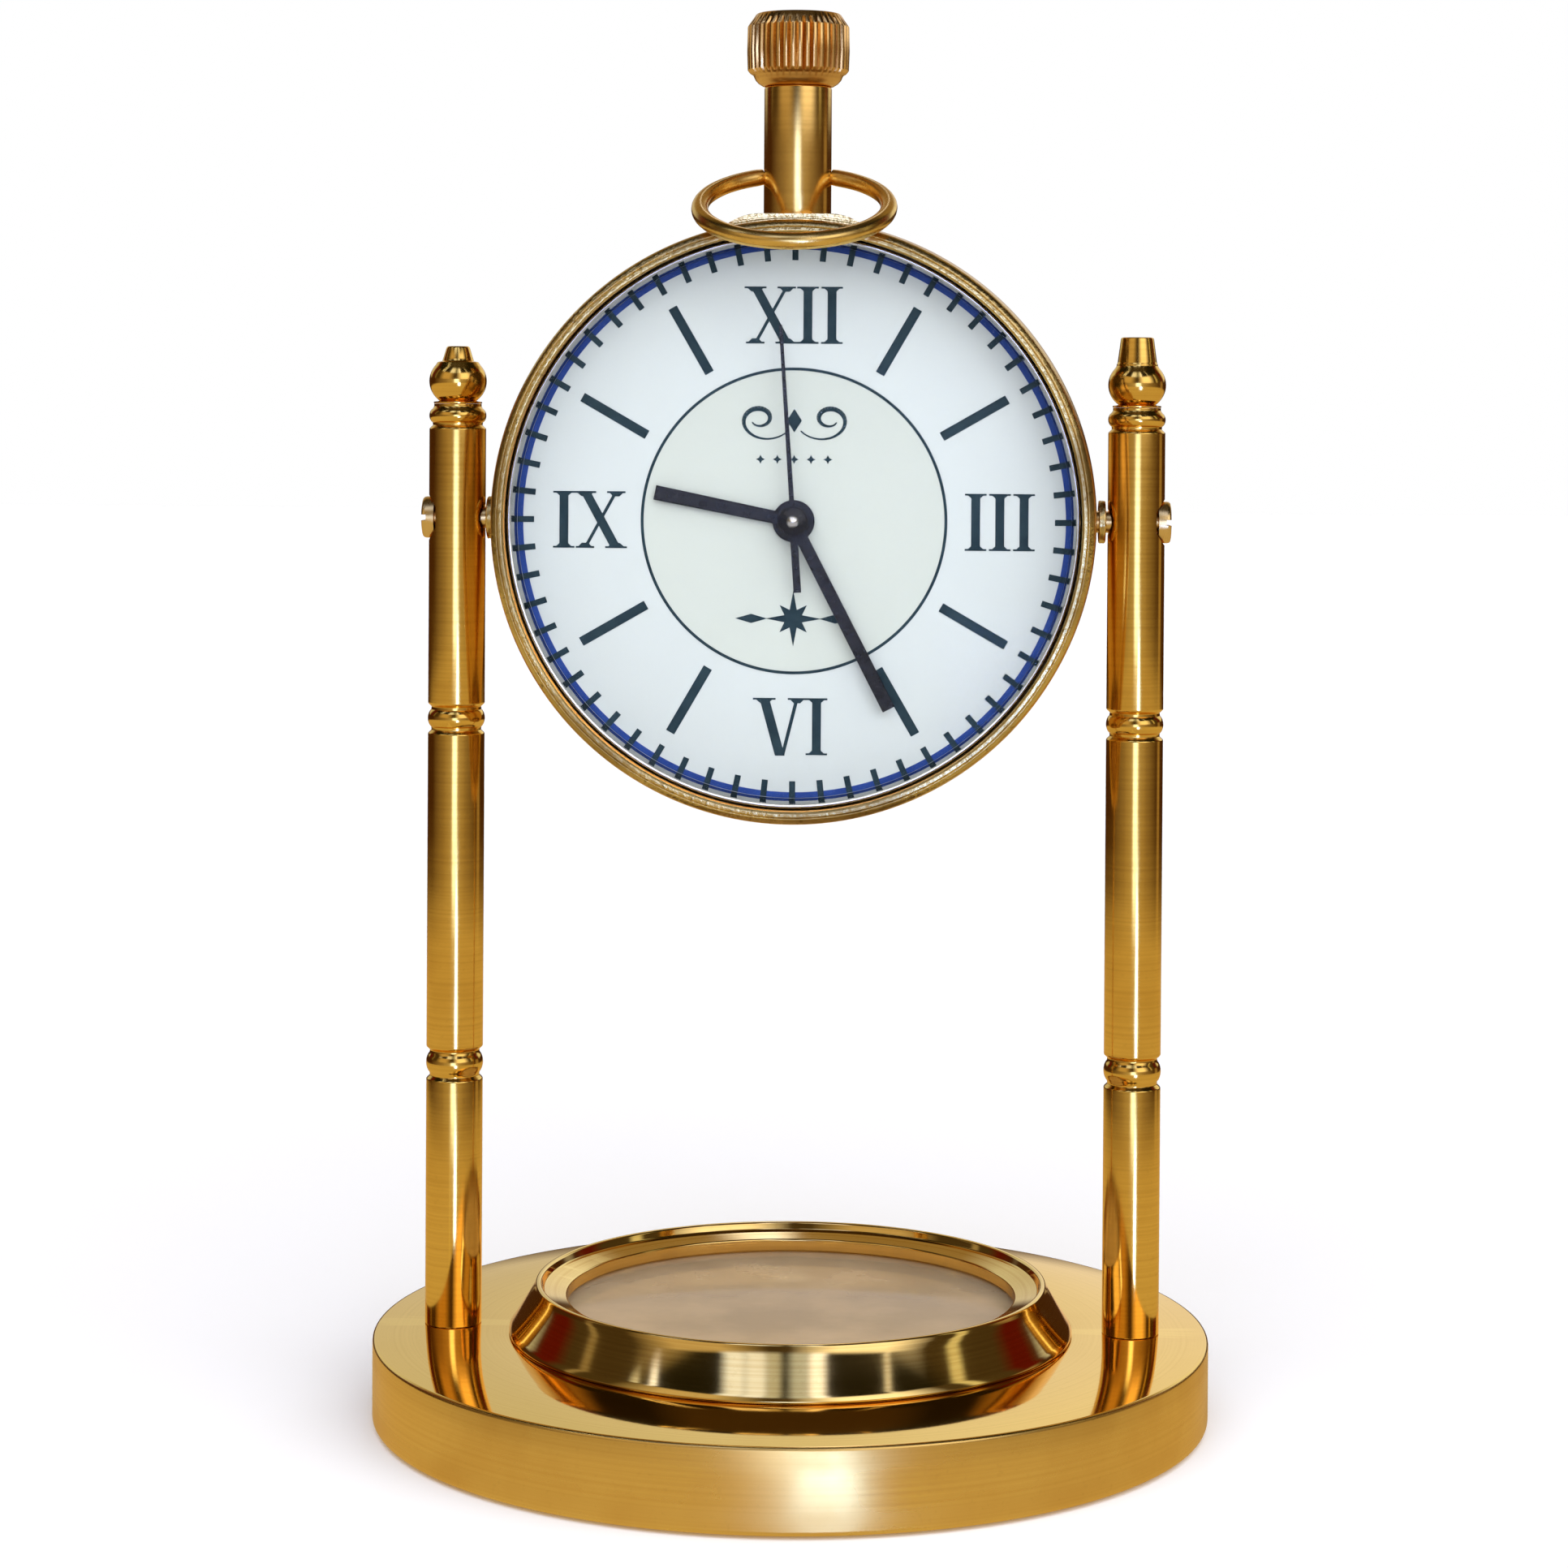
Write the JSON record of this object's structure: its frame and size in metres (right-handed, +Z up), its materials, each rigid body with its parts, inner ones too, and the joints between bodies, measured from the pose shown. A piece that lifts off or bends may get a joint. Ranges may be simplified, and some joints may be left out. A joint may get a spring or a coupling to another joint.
{
  "type": "desk clock",
  "caption": "Brass desk clock: pocket-watch style head tilting between turned posts on a round base with a compass set in it.",
  "frame": {"origin": "centre of the felt under the base, on the surface the clock stands on", "axes": "+Z up through the compass and the neck, dial facing -Y, +X to the dial's right (three o'clock)"},
  "size_m": [0.1, 0.1, 0.1679],
  "materials": {
    "polished_brass": "polished",
    "satin_brass": "satin",
    "glass": "polished",
    "dial_white": "satin",
    "black_enamel": "gloss",
    "green_felt": "matte",
    "steel": "satin",
    "black_plastic": "matte",
    "white_plastic": "satin",
    "black_rubber": "matte",
    "card": "matte",
    "copper_wire": "satin",
    "circuit_green": "satin"
  },
  "bodies": {
    "base": {"base": "polished_brass", "base_felt": "green_felt", "compass_ring": "polished_brass", "compass_glass": "glass", "compass_gasket": "black_rubber", "compass_bowl": "white_plastic", "compass_card": "card", "compass_pivot": "steel", "post_left": "polished_brass", "post_right": "polished_brass", "post_screw_left": "steel", "post_screw_right": "steel", "finial_left": "polished_brass", "finial_right": "polished_brass"},
    "compass_needle": {"compass_needle": "steel", "needle_cap": "polished_brass"},
    "head": {"case_body": "satin_brass", "bezel": "satin_brass", "crystal": "glass", "dial": "dial_white", "dial_ring": "steel", "back_cover": "satin_brass", "trunnion_screw_left": "polished_brass", "trunnion_screw_right": "polished_brass", "trunnion_boss_left": "satin_brass", "trunnion_boss_right": "satin_brass", "neck": "satin_brass", "movement_holder": "white_plastic", "front_plate": "black_plastic", "rear_housing": "black_plastic", "train_bridge": "white_plastic", "stator": "steel", "coil": "copper_wire", "circuit_board": "circuit_green", "circuit_chip": "black_plastic", "quartz_can": "steel", "battery": "steel", "battery_strap": "steel", "strap_screw": "steel"},
    "bow": {"bow": "satin_brass"},
    "setting_yoke": {"setting_yoke": "steel"},
    "crown": {"crown": "satin_brass", "setting_stem": "steel"},
    "seconds": {"seconds_wheel": "white_plastic", "seconds_hand": "black_enamel", "hand_cap": "black_enamel"},
    "intermediate": {"intermediate_wheel": "white_plastic"},
    "rotor": {"rotor": "steel"},
    "third": {"third_wheel": "white_plastic"},
    "centre": {"centre_wheel": "white_plastic"},
    "minutes": {"cannon_pinion": "steel", "minute_hand": "black_enamel"},
    "motion": {"motion_wheel": "white_plastic"},
    "hours": {"hour_wheel": "white_plastic", "hour_hand": "black_enamel"}
  },
  "joints": [
    {"name": "head_tilt", "type": "hinge", "parent": "base", "child": "head", "pos_m": [0, 0, 0.1073], "axis": [1, 0, 0], "continuous": true},
    {"name": "bow_swing", "type": "hinge", "parent": "head", "child": "bow", "pos_m": [0, 0, 0.1484], "axis": [-1, 0, 0], "range_deg": [0, 227]},
    {"name": "crown_pull", "type": "slide", "parent": "head", "child": "setting_yoke", "axis": [0, 0, 1], "range_m": [0, 0.0012]},
    {"name": "crown_turn", "type": "hinge", "parent": "setting_yoke", "child": "crown", "pos_m": [0, 0, 0.1595], "axis": [0, 0, 1], "continuous": true},
    {"name": "compass_needle_turn", "type": "hinge", "parent": "base", "child": "compass_needle", "pos_m": [0, 0, 0.0083], "axis": [0, 0, 1], "continuous": true},
    {"name": "seconds_hand_turn", "type": "hinge", "parent": "head", "child": "seconds", "pos_m": [0, 0, 0.1073], "axis": [0, 1, 0], "continuous": true},
    {"name": "minute_hand_turn", "type": "hinge", "parent": "head", "child": "minutes", "pos_m": [0, 0, 0.1073], "axis": [0, 1, 0], "continuous": true},
    {"name": "intermediate_wheel_turn", "type": "hinge", "parent": "head", "child": "intermediate", "pos_m": [0, 0, 0.1037], "axis": [0, 1, 0], "continuous": true},
    {"name": "rotor_turn", "type": "hinge", "parent": "head", "child": "rotor", "pos_m": [0.00305, 0, 0.10228], "axis": [0, 1, 0], "continuous": true},
    {"name": "third_wheel_turn", "type": "hinge", "parent": "head", "child": "third", "pos_m": [-0.00468, 0, 0.11], "axis": [0, 1, 0], "continuous": true},
    {"name": "centre_wheel_turn", "type": "hinge", "parent": "head", "child": "centre", "pos_m": [0, 0, 0.1073], "axis": [0, 1, 0], "continuous": true},
    {"name": "motion_wheel_turn", "type": "hinge", "parent": "head", "child": "motion", "pos_m": [0.002, 0, 0.11076], "axis": [0, 1, 0], "continuous": true},
    {"name": "hour_hand_turn", "type": "hinge", "parent": "head", "child": "hours", "pos_m": [0, 0, 0.1073], "axis": [0, 1, 0], "continuous": true}
  ],
  "couplings": [
    {"joint": "intermediate_wheel_turn", "follows": "seconds_hand_turn", "ratio": -5},
    {"joint": "rotor_turn", "follows": "seconds_hand_turn", "ratio": 30},
    {"joint": "third_wheel_turn", "follows": "seconds_hand_turn", "ratio": -0.125},
    {"joint": "centre_wheel_turn", "follows": "seconds_hand_turn", "ratio": 0.016667},
    {"joint": "motion_wheel_turn", "follows": "minute_hand_turn", "ratio": -0.33333},
    {"joint": "hour_hand_turn", "follows": "minute_hand_turn", "ratio": 0.083333}
  ]
}
